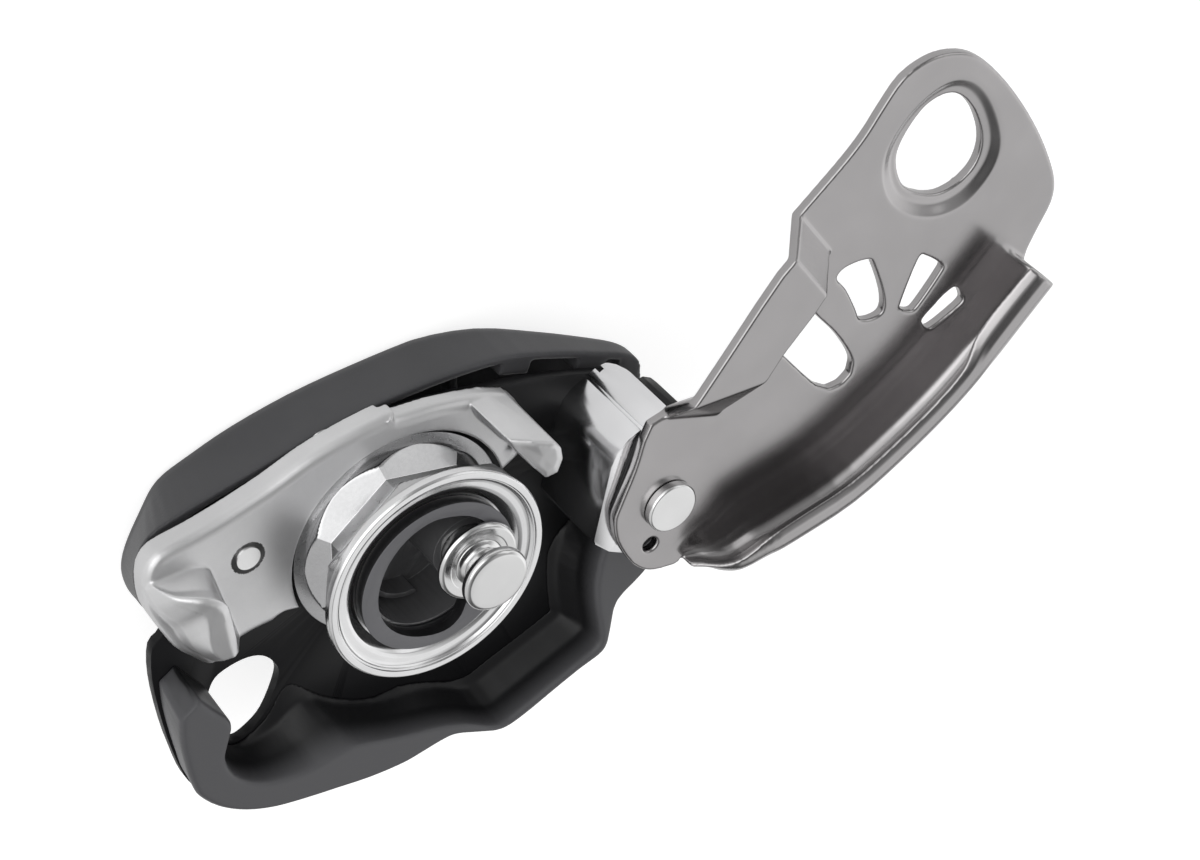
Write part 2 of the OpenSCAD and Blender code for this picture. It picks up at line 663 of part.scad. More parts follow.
module release_lever() {
  w = unit(pin - stud);
  s = turn(w);
  p = [stud + 7.6 * s, pin + 5.4 * s, pin - 5.4 * s, stud - 7.6 * s];
  color("#a7a9ac")
    raised()
    translate([0, 0, lever_z])
      difference() {
        union() {
          linear_extrude(lever_thickness)
            polygon([p[3], p[2], p[1], p[0]]);
          at(stud)
            cylinder(r = 8.6, h = lever_thickness);
          at(pin)
            cylinder(r = 5.8, h = lever_thickness);
        }
        at(stud, -1)
          cylinder(r = shaft_radius + shaft_clearance, h = 6);
        at(drive, -1)
          cylinder(r = 2, h = 6);
        at(pin, -1)
          cylinder(r = 2.5, h = 6);
        at(0.38 * stud + 0.62 * pin, -1)
          cylinder(r = 2.6, h = 6);
      }
}

module lever_ring() {
  color("#7c7e81")
    raised()
    at(stud)
      difference() {
        tube(7, shaft_radius - 0.75, 7.4, 0.8);
        translate([-0.9, -9, 7])
          cube([1.8, 8, 2]);
      }
}

module cam_spring() {
  color("#8b8d90")
    raised()
    wire(spring_path, spring_wire / 2);
}

// Round wire along a path
module wire(path, r) {
  m = len(path);
  rings = [for (i = [0:m - 1]) let (
      d = unit(path[min(i + 1, m - 1)] - path[max(i - 1, 0)]),
      u = unit(cross(d, [0, 0, 1])),
      v = cross(u, d))
    [for (k = [0:5]) path[i] + r * (cos(60 * k) * u + sin(60 * k) * v)]];
  skin([for (i = [m - 1:-1:0]) rings[i]]);
}

module wheel() {
  a = 94.8 - 180 / groove_faces;
  k = 1 / cos(180 / groove_faces);
  w = rim_radius - 1.9 - seat_radius;
  color("#dcdddf")
    raised()
    difference() {
      union() {
        translate([0, 0, 18.4])
          cylinder(r = rim_radius - 0.7, h = 1);
        intersection() {
          translate([0, 0, 19.3])
            cylinder(r1 = 18.1, r2 = 17.2, h = 12);
          rotate([0, 0, a]) {
            translate([0, 0, 19.3])
              cylinder(r1 = 18.2 * k, r2 = groove_radius * k, h = 3.3,
                $fn = groove_faces);
            translate([0, 0, 22.59])
              cylinder(r = groove_radius * k, h = 2.4, $fn = groove_faces);
          }
        }
        intersection() {
          translate([0, 0, 20])
            cylinder(r = rim_radius - 0.1, h = 12);
          translate([0, 0, 24.9])
            rotate([0, 0, a])
              cylinder(r1 = groove_radius * k, r2 = 20.8 * k, h = 6.2,
                $fn = groove_faces);
        }
        rotate_extrude()
          polygon([[bore_radius + 0.3, 30], [rim_radius - 1.6, 30.2],
            [rim_radius - 0.25, 30.7], [rim_radius, 31],
            [rim_radius, 32.1], [rim_radius - 0.4, rim_z],
            [rim_radius - 1.4, rim_z], [rim_radius - 1.5, 32.3],
            [bore_radius + 0.3, 32.3]]);
      }
      translate([0, 0, 10])
        cylinder(r = bore_radius + 0.05, h = 30);
      rotate_extrude()
        polygon([[0, 30], [seat_radius, 30], [seat_radius, 30.1],
          [seat_radius + 0.2 * w, 30.2], [seat_radius + 0.5 * w, 30.65],
          [seat_radius + 0.75 * w, 31.25], [seat_radius + 0.93 * w, 31.9],
          [rim_radius - 1.9, 32.1], [rim_radius - 1.75, 32.3],
          [rim_radius - 1.7, 33], [0, 33]]);
    }
}

module wheel_bearing() {
  color("#8a7a52")
    raised()
    tube(bore_radius + 0.05, cam_radius + wheel_clearance, 18.6, 11.2);
}

module handle() {
  rings = run(grip, 3);
  m = len(rings);
  t = handle_wall;
  color("#4a4b4e")
    difference() {
      union() {
        difference() {
          capped_skin([for (s = rings) grip_ring(s, 0, 0, 2.6, 0)]);
          capped_skin([for (i = [7:m - 8])
            grip_ring(rings[i], t, 2.2, 1.2, 3)]);
        }
        at(pin, 1)
          cylinder(r = 5.4, h = 6.6 + rise);
        handle_ribs();
      }
      at(pin, 3)
        cylinder(r = 2.55, h = 14 + rise);
      at(pin, lever_z - 0.5 + rise)
        cylinder(r = 12.4, h = 12);
    }
}

module handle_ribs() {
  for (q = [[34.8, 1.5, -53], [44.2, -12.2, -57.5]])
    translate([q[0], q[1], handle_depth - 4.8])
      rotate([0, 0, q[2]])
        translate([-3.1, -2.6, 0])
          cube([6.2, 3, 4.2]);
  for (q = [[-6, 5, 27], [8, 0, 22], [20, -8, 22]])
    translate([q[0], q[1], 1])
      rotate([0, 0, -30])
        translate([-0.8, -q[2] / 2, 0])
          cube([1.6, q[2], 4.2]);
}

module handle_pin() {
  color("#b9babc")
    at(pin) {
      translate([0, 0, 3])
        cylinder(r = 2.5, h = 9.6 + rise);
      translate([0, 0, lever_z + lever_thickness + rise])
        cylinder(r = 4.2, h = 1.2);
    }
}

module handle_washer() {
  color("#3a3a3c")
    raised()
    at(pin)
      tube(5, 2.6, 7.6, 0.9);
}

// Moving side plate with its raised bridge and rolled finger lip
module moving_plate() {
  t = sheet_thickness;
  color("#a3a1a3")
    raised()
    difference() {
      one_blank() {
        difference() {
          slab(soft(sheet_edge, 3), sheet_z, t);
          slab(eye_rim, sheet_z - 1, 5);
        }
        eye_collar();
        bridge();
        rolled_lip();
      }
      for (w = windows)
        slab(loop(w, 3), sheet_z - 1, 4);
      at(rivet, 30)
        cylinder(r = 4, h = 10);
      translate([28.1, -30.3, 30])
        cylinder(r = 1.45, h = 10);
    }
}

module eye_collar() {
  t = sheet_thickness;
  n = len(eye);
  c = [110.2, -13.2];
  step = [for (i = [0:n - 1]) eye_rim[i] + 0.55 * (eye[i] - eye_rim[i])];
  out = [for (p = eye_rim) c + 1.004 * (p - c)];
  rings = [lift(out, sheet_z), lift(step, sheet_z - 1), lift(eye, sheet_z - 1.1),
    lift(eye, face_z - 1.1), lift(step, face_z - 1), lift(out, face_z)];
  m = len(rings);
  polyhedron(
    points = [for (r = rings) each r],
    faces = [for (j = [0:m - 1], i = [0:n - 1], s = [0, 1]) let (
        a = j * n + i, b = j * n + (i + 1) % n,
        d = ((j + 1) % m) * n + i, f = ((j + 1) % m) * n + (i + 1) % n)
      s == 0 ? [b, a, d] : [d, f, b]]);
}

module bridge() {
  t = sheet_thickness;
  z = sheet_z + bridge_rise;
  slab([[49.7, -5.6], [61.7, -14.6], [67.2, -12.9], [75.3, -11.4],
    [78.6, -10.4], [78.8, 2.2], [75.4, 1.9], [69.5, 0.3],
    [59.6, -2.7]], z, t);
  hull() {
    slab([[49.7, -5.6], [50.5, -5.4], [62.4, -14.4], [61.7, -14.6]], z, t);
    slab([[45.4, -9.4], [46.6, -9], [53.1, -18.2], [52, -18.4]], sheet_z, t);
  }
  hull() {
    slab([[78.2, -10.5], [78.8, -10.4], [78.8, 2.2], [78.2, 2.2]], z, t);
    slab([[84.1, -9.8], [85, -9.6], [85, 2.4], [84.1, 2.4]], sheet_z, t);
  }
}

module rolled_lip() {
  list = run(roll, 3);
  m = len(list);
  skin([for (i = [0:m - 1]) let (
      a = list[max(i - 1, 0)], b = list[min(i + 1, m - 1)],
      d = unit([b[0] - a[0], b[1] - a[1]]))
    roll_ring(list[i], [d[1], -d[0]])]);
}

module moving_bush() {
  color("#6e6f72")
    raised()
    at(rivet)
      tube(4, rivet_shank_radius + 0.05, sheet_z, sheet_thickness);
}

fixed_plate();
body_moulding();
moulding_rivets();
friction_plate();
friction_rivets();
hinge_block();
hinge_sleeve();
hinge_pad();
hinge_rivet();
axle();
axle_collar();
spring_post();
cam();
cam_cover();
drive_pin();
cam_spring();
release_lever();
lever_ring();
wheel();
wheel_bearing();
handle();
handle_pin();
handle_washer();
moving_plate();
moving_bush();
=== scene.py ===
"""Looks of the opened belay device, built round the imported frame. Metres, Z to the open front."""
import math

import bmesh
import bpy
from mathutils import Matrix, Vector


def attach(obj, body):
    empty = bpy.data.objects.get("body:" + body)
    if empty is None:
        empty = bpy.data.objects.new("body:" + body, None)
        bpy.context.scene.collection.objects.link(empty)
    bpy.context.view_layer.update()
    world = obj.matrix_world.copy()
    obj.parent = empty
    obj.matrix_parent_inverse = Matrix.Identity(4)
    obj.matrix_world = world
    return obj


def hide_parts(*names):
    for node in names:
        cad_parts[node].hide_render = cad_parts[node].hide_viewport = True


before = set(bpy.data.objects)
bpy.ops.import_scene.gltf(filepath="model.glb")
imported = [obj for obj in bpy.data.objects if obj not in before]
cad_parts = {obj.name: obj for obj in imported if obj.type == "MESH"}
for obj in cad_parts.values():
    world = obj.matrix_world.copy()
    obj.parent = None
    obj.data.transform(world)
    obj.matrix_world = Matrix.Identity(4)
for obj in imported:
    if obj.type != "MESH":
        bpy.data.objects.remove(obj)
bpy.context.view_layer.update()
MM = 0.001
TAU = 2 * math.pi

# places and sizes of the construction, in mm
STUD = (6.35, -3.25)
RIVET = (35.3, -25.7)
PLATE_RIVET = (-18.9, 23.7)

# wheel: facets, then radii and heights from the back flange to the front rim, in mm
FACETS = 7
FIRST_FACET = math.radians(94.8)
FACET_STEPS = 24
BORE_RADIUS = 13.25
GROOVE_RADIUS = 14.5
BACK_RADIUS = 20.2
RIM_RADIUS = 20.8
GROOVE_BACK = (18.2, 19.3)
GROOVE_FLOOR_Z = (22.6, 24.9)
GROOVE_FRONT_Z = 31.1
CORNER_RADIUS = 18.1
CORNER_TAPER = 0.075
CORNER_END_Z = 24
BACK_FLANGE_Z = 19.4

# wheel: where the painted highlight of the groove and the turned finish of the rim and the dish end, in mm
GROOVE_HIGHLIGHT_Z = (22.5, 30.7)
GROOVE_HIGHLIGHT_RADIUS = 20.7
RIM_FINISH_Z = 30.9
DISH_FINISH_Z = 30.05
DISH_FINISH_RADIUS = 20

# friction plate: the straight end beside the wheel, as a point in mm, a direction in degrees, a width and a depth
SHEET_END = ((-23.0, 8.7), -46, 6.5, 4.5)

# friction plate: the sunk ring round its rivet, in mm; its floor and walls are painted dark as the shade in the
# recess
SUNK_RING_RADII = (1.9, 3.15)
SUNK_RING_Z = 20.75

# cover ring: its wall and how far it is widened between two heights, in mm
COVER_WALL = 13.8
COVER_WIDER = 0.028
COVER_WIDER_Z = (31.3, 32.5)
COVER_FACE_Z = 32.45


# ---------- meshes ----------

TURNED_SIDES = 128


def new_object(name, verts, faces):
    """Smooth mesh object from points in mm."""
    mesh = bpy.data.meshes.new(name)
    mesh.from_pydata([Vector(v) * MM for v in verts], [], faces)
    mesh.validate()
    obj = bpy.data.objects.new(name, mesh)
    bpy.context.collection.objects.link(obj)
    mesh.shade_smooth()
    return obj


def weld_normals(obj, angle):
    """Smooth shading with sharp edges above an angle in degrees."""
    bm = bmesh.new()
    bm.from_mesh(obj.data)
    bmesh.ops.remove_doubles(bm, verts=bm.verts, dist=1e-7)
    bmesh.ops.recalc_face_normals(bm, faces=bm.faces)
    bm.to_mesh(obj.data)
    bm.free()
    obj.data.shade_smooth()
    obj.data.set_sharp_from_angle(angle=math.radians(angle))


def apply_modifiers(obj):
    """Turns the modifiers' result into the object's own mesh."""
    deps = bpy.context.evaluated_depsgraph_get()
    mesh = bpy.data.meshes.new_from_object(obj.evaluated_get(deps))
    obj.modifiers.clear()
    obj.data = mesh


def from_node(name, piece):
    """A new object with a copy of a CAD node's mesh."""
    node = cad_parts[name]
    mesh = node.data.copy()
    mesh.materials.clear()
    obj = bpy.data.objects.new(piece, mesh)
    bpy.context.collection.objects.link(obj)
    mesh.transform(node.matrix_world)
    bm = bmesh.new()
    bm.from_mesh(mesh)
    bmesh.ops.remove_doubles(bm, verts=bm.verts, dist=2e-6)
    bm.to_mesh(mesh)
    bm.free()
    return obj


def trim(obj, point, turn, width, depth):
    """Moves what sticks out past a line back onto it; point and lengths in mm, turn in degrees."""
    along = Vector((math.cos(math.radians(turn)), math.sin(math.radians(turn)), 0))
    out = Vector((along.y, -along.x, 0))
    for v in obj.data.vertices:
        q = v.co / MM - Vector((*point, 0))
        n = q.dot(out)
        if 0 < n < depth and 0 < q.dot(along) < width:
            v.co -= out * n * MM


def pressed(name, piece, voxel, smooth, end=None):
    """Sheet or moulding: the CAD form with softly rounded edges, and one straight end where it is given."""
    obj = from_node(name, piece)
    if end:
        trim(obj, *end)
    step = voxel * 1
    mod = obj.modifiers.new("remesh", "REMESH")
    mod.mode = "VOXEL"
    mod.voxel_size = step * MM
    mod.use_smooth_shade = True
    mod = obj.modifiers.new("soften", "SMOOTH")
    mod.factor = 0.5
    mod.iterations = smooth
    apply_modifiers(obj)
    obj.data.shade_smooth()
    return obj


def bevelled(name, piece, width):
    """CAD form with narrow rounded edges."""
    obj = from_node(name, piece)
    bm = bmesh.new()
    bm.from_mesh(obj.data)
    bmesh.ops.dissolve_limit(bm, angle_limit=math.radians(1.5), verts=bm.verts, edges=bm.edges)
    bm.to_mesh(obj.data)
    bm.free()
    mod = obj.modifiers.new("edges", "BEVEL")
    mod.width = width * MM
    mod.segments = 3
    mod.limit_method = "ANGLE"
    mod.angle_limit = math.radians(32)
    mod.harden_normals = True
    apply_modifiers(obj)
    obj.data.shade_smooth()
    obj.data.set_sharp_from_angle(angle=math.radians(50))
    return obj


def ring_faces(rings, n, closed):
    """Faces between rings of n points each; closed joins the last ring to the first."""
    faces = []
    for j in range(rings if closed else rings - 1):
        for k in range(n):
            a, b = j * n + k, j * n + (k + 1) % n
            c, d = ((j + 1) % rings) * n + (k + 1) % n, ((j + 1) % rings) * n + k
            faces.append((a, b, c, d))
    return faces


def revolved(piece, profile, centre, closed=False):
    """Turned piece from (radius, height) points."""
    angles = [TAU * k / TURNED_SIDES for k in range(TURNED_SIDES)]
    verts = [(centre[0] + r * math.cos(a), centre[1] + r * math.sin(a), z) for r, z in profile for a in angles]
    obj = new_object(piece, verts, ring_faces(len(profile), TURNED_SIDES, closed))
    weld_normals(obj, 28)
    return obj


def rounded(points, radius, steps, closed=False):
    """Profile points with small round corners."""
    out = []
    n = len(points)
    for i, p in enumerate(points):
        if not closed and i in (0, n - 1):
            out.append(p)
            continue
        a = Vector(points[i - 1]) - Vector(p)
        b = Vector(points[(i + 1) % n]) - Vector(p)
        d = min(radius, a.length * 0.45, b.length * 0.45)
        s, e = Vector(p) + a.normalized() * d, Vector(p) + b.normalized() * d
        for k in range(steps + 1):
            t = k / steps
            q = s * (1 - t) ** 2 + Vector(p) * 2 * t * (1 - t) + e * t * t
            out.append((q.x, q.y))
    return out


# ---------- materials ----------

# rings that the lathe leaves, in metres, and the wave node's scale for rings of one metre
RING_PITCH = 3.5e-4
RING_DEPTH = 0.3e-6
WAVE_METRE = 0.314

# moulding: how far out a face has to look, in metres along its normal, to escape the painted shade and keep its
# grey
UNSHADED_OUTWARD = (0.004, 0.016)


def material(name, base, metallic, rough, spec=0.5):
    """Plain surface with its node tree and shader."""
    mat = bpy.data.materials.new(name)
    mat.use_nodes = True
    tree = mat.node_tree
    shader = tree.nodes["Principled BSDF"]
    shader.inputs["Base Color"].default_value = (*base, 1)
    shader.inputs["Metallic"].default_value = metallic
    shader.inputs["Roughness"].default_value = rough
    shader.inputs["Specular IOR Level"].default_value = spec
    return mat, tree, shader


def noise(tree, scale, detail, rough=0.5):
    """Noise in object space; scale is in waves per metre."""
    coords = tree.nodes.new("ShaderNodeTexCoord")
    node = tree.nodes.new("ShaderNodeTexNoise")
    node.inputs["Scale"].default_value = scale
    node.inputs["Detail"].default_value = detail
    node.inputs["Roughness"].default_value = rough
    tree.links.new(coords.outputs["Object"], node.inputs["Vector"])
    return node


def remap(tree, source, lo, hi):
    """Turns the middle range of a noise into lo to hi."""
    node = tree.nodes.new("ShaderNodeMapRange")
    node.inputs["From Min"].default_value = 0.3
    node.inputs["From Max"].default_value = 0.7
    node.inputs["To Min"].default_value = lo
    node.inputs["To Max"].default_value = hi
    tree.links.new(source, node.inputs["Value"])
    return node.outputs["Result"]


def tint(tree, source, low, high, start=0.3, end=0.7):
    """Colour that runs from low to high with the source."""
    ramp = tree.nodes.new("ShaderNodeValToRGB")
    ramp.color_ramp.elements[0].position = start
    ramp.color_ramp.elements[0].color = (*low, 1)
    ramp.color_ramp.elements[1].position = end
    ramp.color_ramp.elements[1].color = (*high, 1)
    tree.links.new(source, ramp.inputs["Fac"])
    return ramp.outputs["Color"]


def bump(tree, shader, source, height):
    """Relief of a height in metres."""
    node = tree.nodes.new("ShaderNodeBump")
    node.inputs["Distance"].default_value = height
    tree.links.new(source, node.inputs["Height"])
    tree.links.new(node.outputs["Normal"], shader.inputs["Normal"])


def metal(name, base, rough, spread, grain, grain_height, vary=0.06, speckle=0.0):
    """Blasted or rolled metal: soft clouds of colour, fine grain in gloss and relief.

    rough varies by spread, the colour by vary; grain is in waves per metre, its height in metres.
    """
    mat, tree, shader = material(name, base, 1.0, rough)
    cloud = noise(tree, 90, 4)
    fine = noise(tree, grain, 2)
    tree.links.new(remap(tree, fine.outputs["Fac"], rough - spread, rough + spread), shader.inputs["Roughness"])
    low = tuple(c * (1 - vary) for c in base)
    high = tuple(min(1, c * (1 + vary)) for c in base)
    colour = tint(tree, cloud.outputs["Fac"], low, high)
    if speckle:
        spots = noise(tree, 1500, 3, rough=0.7)
        mix = tree.nodes.new("ShaderNodeMix")
        mix.data_type = "RGBA"
        mix.blend_type = "MULTIPLY"
        mix.inputs[0].default_value = 1.0
        tree.links.new(colour, mix.inputs[6])
        tree.links.new(tint(tree, spots.outputs["Fac"], (1 - speckle,) * 3, (1, 1, 1), 0.4, 0.6), mix.inputs[7])
        colour = mix.outputs[2]
    tree.links.new(colour, shader.inputs["Base Color"])
    bump(tree, shader, fine.outputs["Fac"], grain_height)
    return mat


def turned(name, base, rough, centre=(0, 0), fan=0.0):
    """Lathe-turned metal: fine rings round an axis along Z, brightness that fans out round it."""
    mat, tree, shader = material(name, base, 1.0, rough)
    coords = tree.nodes.new("ShaderNodeTexCoord")
    shift = tree.nodes.new("ShaderNodeVectorMath")
    shift.operation = "SUBTRACT"
    shift.inputs[1].default_value = (centre[0] * MM, centre[1] * MM, 0)
    tree.links.new(coords.outputs["Object"], shift.inputs[0])
    rings = tree.nodes.new("ShaderNodeTexWave")
    rings.wave_type = "RINGS"
    rings.rings_direction = "Z"
    rings.inputs["Scale"].default_value = WAVE_METRE / RING_PITCH
    rings.inputs["Distortion"].default_value = 0.4
    rings.inputs["Detail"].default_value = 2
    tree.links.new(shift.outputs[0], rings.inputs["Vector"])
    fine = noise(tree, 3000, 2)
    tree.links.new(remap(tree, fine.outputs["Fac"], rough - 0.02, rough + 0.02), shader.inputs["Roughness"])
    cloud = noise(tree, 160, 4)
    colour = tint(tree, cloud.outputs["Fac"], tuple(c * 0.94 for c in base), base)
    tree.links.new(colour, shader.inputs["Base Color"])
    bump(tree, shader, rings.outputs["Fac"], RING_DEPTH)
    shader.inputs["Anisotropic"].default_value = fan
    tangent = tree.nodes.new("ShaderNodeTangent")
    tangent.direction_type = "RADIAL"
    tangent.axis = "Z"
    tree.links.new(tangent.outputs[0], shader.inputs["Tangent"])
    return mat


def plastic(name, base, rough, grain, grain_height, spec):
    """Moulded or anodised surface: faint clouds of colour and a fine matt grain.

    grain is in waves per metre, its height in metres.
    """
    mat, tree, shader = material(name, base, 0.0, rough, spec=spec)
    cloud = noise(tree, 60, 3)
    fine = noise(tree, grain, 2)
    tree.links.new(remap(tree, fine.outputs["Fac"], rough - 0.05, rough + 0.06), shader.inputs["Roughness"])
    low = tuple(c * 0.9 for c in base)
    high = tuple(c * 1.1 for c in base)
    tree.links.new(tint(tree, cloud.outputs["Fac"], low, high), shader.inputs["Base Color"])
    bump(tree, shader, fine.outputs["Fac"], grain_height)
    return mat


def plastic_with_painted_shade(name, painted_shade_colour, base, rough, z0, z1):
    """Grey plastic with painted shade: inner faces are painted darker from z1 down to z0 in mm, standing in for
    the shade deep inside the device; outward faces keep the grey.
    """
    mat, tree, shader = material(name, base, 0.0, rough, spec=0.3)
    coords = tree.nodes.new("ShaderNodeTexCoord")
    parts = tree.nodes.new("ShaderNodeSeparateXYZ")
    tree.links.new(coords.outputs["Object"], parts.inputs[0])
    height = tree.nodes.new("ShaderNodeMapRange")
    height.interpolation_type = "SMOOTHSTEP"
    height.inputs["From Min"].default_value = z0 * MM
    height.inputs["From Max"].default_value = z1 * MM
    tree.links.new(parts.outputs["Z"], height.inputs["Value"])
    flat = tree.nodes.new("ShaderNodeVectorMath")
    flat.operation = "MULTIPLY"
    flat.inputs[1].default_value = (1, 1, 0)
    tree.links.new(coords.outputs["Object"], flat.inputs[0])
    out = tree.nodes.new("ShaderNodeVectorMath")
    out.operation = "DOT_PRODUCT"
    tree.links.new(flat.outputs[0], out.inputs[0])
    tree.links.new(coords.outputs["Normal"], out.inputs[1])
    side = tree.nodes.new("ShaderNodeMapRange")
    side.inputs["From Min"].default_value, side.inputs["From Max"].default_value = UNSHADED_OUTWARD
    tree.links.new(out.outputs["Value"], side.inputs["Value"])
    unshaded = tree.nodes.new("ShaderNodeMath")
    unshaded.operation = "MAXIMUM"
    tree.links.new(height.outputs["Result"], unshaded.inputs[0])
    tree.links.new(side.outputs["Result"], unshaded.inputs[1])
    cloud = noise(tree, 60, 3)
    blend = tree.nodes.new("ShaderNodeMath")
    blend.operation = "MULTIPLY_ADD"
    blend.inputs[1].default_value = 0.12
    tree.links.new(cloud.outputs["Fac"], blend.inputs[0])
    tree.links.new(unshaded.outputs[0], blend.inputs[2])
    # painted shade: the dark colour low down and on inner faces, the grey above and on outward faces
    tree.links.new(tint(tree, blend.outputs[0], painted_shade_colour, base, 0.06, 1.0), shader.inputs["Base Color"])
    fine = noise(tree, 6000, 2)
    tree.links.new(remap(tree, fine.outputs["Fac"], rough - 0.05, rough + 0.06), shader.inputs["Roughness"])
    bump(tree, shader, fine.outputs["Fac"], 3e-6)
    return mat


def dress(obj, mat):
    """Gives a new piece its only material."""
    obj.data.materials.clear()
    obj.data.materials.append(mat)


def dress_node(name, mat):
    """Gives a CAD node that is shown as it is its material."""
    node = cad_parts[name]
    for s in node.material_slots:
        s.material = mat
    if not node.material_slots:
        node.data.materials.append(mat)


STEEL_SATIN = metal("steel_satin", (0.68, 0.68, 0.685), 0.43, 0.04, 3400, 0.9e-6)
STEEL_WHEEL = metal("steel_wheel", (0.5, 0.5, 0.505), 0.18, 0.03, 1800, 0.3e-6, speckle=0.04)
# brighter steel for the groove: painted light on facets that lie in shade under the rim
STEEL_GROOVE_HIGHLIGHT = metal("steel_groove_painted_highlight", (0.8, 0.8, 0.805), 0.3, 0.03, 1800, 0.3e-6)
# dark steel: painted shade in the sunk ring round the friction plate's rivet
STEEL_RING_SHADE = metal("steel_ring_painted_shade", (0.1, 0.1, 0.1), 0.5, 0.04, 2400, 0.8e-6)
# darker steel for the wheel's back flange: painted shade under the rim
STEEL_FLANGE_SHADE = metal("steel_flange_painted_shade", (0.4, 0.4, 0.405), 0.3, 0.04, 3000, 0.4e-6)
WHEEL_FRONT = turned("wheel_front", (0.76, 0.76, 0.765), 0.2, fan=0.4)
AXLE_STEEL = turned("axle_steel", (0.68, 0.68, 0.68), 0.17, STUD)
RIVET_STEEL = turned("rivet_steel", (0.76, 0.76, 0.76), 0.24, RIVET)
ALLOY_MOVING = metal("alloy_moving", (0.375, 0.365, 0.367), 0.21, 0.01, 900, 0.2e-6, vary=0.04)
ALLOY_BLOCK = metal("alloy_block", (0.78, 0.78, 0.79), 0.17, 0.03, 3000, 0.25e-6)
STEEL_DULL = metal("steel_dull", (0.5, 0.5, 0.51), 0.4, 0.06, 3000, 1.2e-6)
BRONZE = metal("bronze", (0.36, 0.31, 0.22), 0.45, 0.06, 3000, 2.0e-6)
PLATE_BLACK = plastic("plate_black", (0.007, 0.007, 0.0078), 0.42, 6000, 2e-6, spec=0.2)
# border moulding with painted shade, darker towards the bottom of its inner faces
MOULDING_PAINTED_SHADE = plastic_with_painted_shade("moulding_grey_painted_shade", (0.007, 0.007, 0.0078), (0.085, 0.085, 0.09), 0.42, 21.5, 27.4)
HANDLE_GREY = plastic("handle_grey", (0.066, 0.066, 0.07), 0.42, 6000, 3e-6, spec=0.35)
CAM_BLACK = plastic("cam_black", (0.09, 0.09, 0.093), 0.2, 5000, 1e-6, spec=0.8)
COVER_GREY = plastic("cover_grey", (0.13, 0.13, 0.138), 0.4, 5000, 2e-6, spec=0.35)
COVER_SIDE = plastic("cover_side", (0.012, 0.012, 0.013), 0.35, 5000, 2e-6, spec=0.25)
PAD_BLACK = plastic("pad_black", (0.012, 0.012, 0.013), 0.4, 5000, 3e-6, spec=0.25)


# ---------- pieces ----------

def wheel_mesh():
    """Heptagonal groove between two round flanges, with a dished front."""
    angles = [FIRST_FACET + TAU * i / FACETS + TAU / FACETS * (k / FACET_STEPS - 0.5)
              for i in range(FACETS) for k in range(FACET_STEPS)]
    back_radius, back_z = GROOVE_BACK
    floor_back, floor_front = GROOVE_FLOOR_Z

    def flat(apothem, a):
        """Radius at an angle of a facet at that distance from the axis."""
        d = (a - FIRST_FACET + math.pi / FACETS) % (TAU / FACETS) - math.pi / FACETS
        return apothem / math.cos(d)

    def apothem(z):
        """Distance of the facets from the axis, down one slope, along the floor, up the other."""
        if z <= floor_back:
            return back_radius - (z - back_z) * (back_radius - GROOVE_RADIUS) / (floor_back - back_z)
        if z <= floor_front:
            return GROOVE_RADIUS
        return GROOVE_RADIUS + (z - floor_front) * (RIM_RADIUS - GROOVE_RADIUS) / (GROOVE_FRONT_Z - floor_front)

    def limit(z):
        """Round outline that cuts the facets' corners."""
        return CORNER_RADIUS - (z - back_z) * CORNER_TAPER if z < CORNER_END_Z else RIM_RADIUS

    def soft_min(a, b, k):
        h = max(k - abs(a - b), 0) / k
        return min(a, b) - h * h * k / 4

    def turned_rings(profile, radius):
        return [([r] * len(angles), z) for r, z in rounded(profile, radius, 3)]

    rings = turned_rings([(BORE_RADIUS, 18.4), (BACK_RADIUS, 18.4), (BACK_RADIUS, BACK_FLANGE_Z),
                          (18.05, BACK_FLANGE_Z)], 0.2)
    heights = [19.42 + 0.08 * i for i in range(40)] + [22.6, 22.66, 23.2, 23.8, 24.4, 24.84, 24.9]
    heights += [24.98 + 0.12 * i for i in range(49)]
    rings += [([soft_min(flat(apothem(z), a), limit(z), 0.12) for a in angles], z) for z in heights]
    rings += turned_rings([
        (RIM_RADIUS, 30.85), (20.9, 31.1), (20.9, 32.2), (20.55, 32.6), (19.5, 32.6), (19.38, 32.3),
        (19.16, 32.3), (19.0, 32.05), (18.75, 31.8), (18.2, 31.66), (17.3, 31.56), (16.6, 31.35),
        (15.9, 30.85), (15.35, 30.3), (15.0, 30.0), (BORE_RADIUS, 30.0)], 0.12)
    verts = [(r * math.cos(a), r * math.sin(a), z) for radii, z in rings for r, a in zip(radii, angles)]
    return verts, ring_faces(len(rings), len(angles), True)


def second_material(obj, mat, test):
    """Gives mat to the faces whose centre in mm and normal pass the test."""
    obj.data.materials.append(mat)
    index = len(obj.data.materials) - 1
    for face in obj.data.polygons:
        if test(face.center / MM, face.normal):
            face.material_index = index


wheel = new_object("rope_wheel", *wheel_mesh())
weld_normals(wheel, 22)
dress(wheel, STEEL_WHEEL)
# the back flange is painted darker as shade under the rim
second_material(wheel, STEEL_FLANGE_SHADE, lambda c, n: c.z < BACK_FLANGE_Z)
# the groove's floor and front slope are painted brighter than the wheel's other steel, as light on facets under
# the rim
second_material(wheel, STEEL_GROOVE_HIGHLIGHT, lambda c, n: GROOVE_HIGHLIGHT_Z[0] < c.z < GROOVE_HIGHLIGHT_Z[1]
                and c.xy.length < GROOVE_HIGHLIGHT_RADIUS)
second_material(wheel, WHEEL_FRONT, lambda c, n: c.z > RIM_FINISH_Z
                or (c.z > DISH_FINISH_Z and c.xy.length < DISH_FINISH_RADIUS and n.z > 0.1))
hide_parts("wheel")
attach(wheel, "wheel_body")

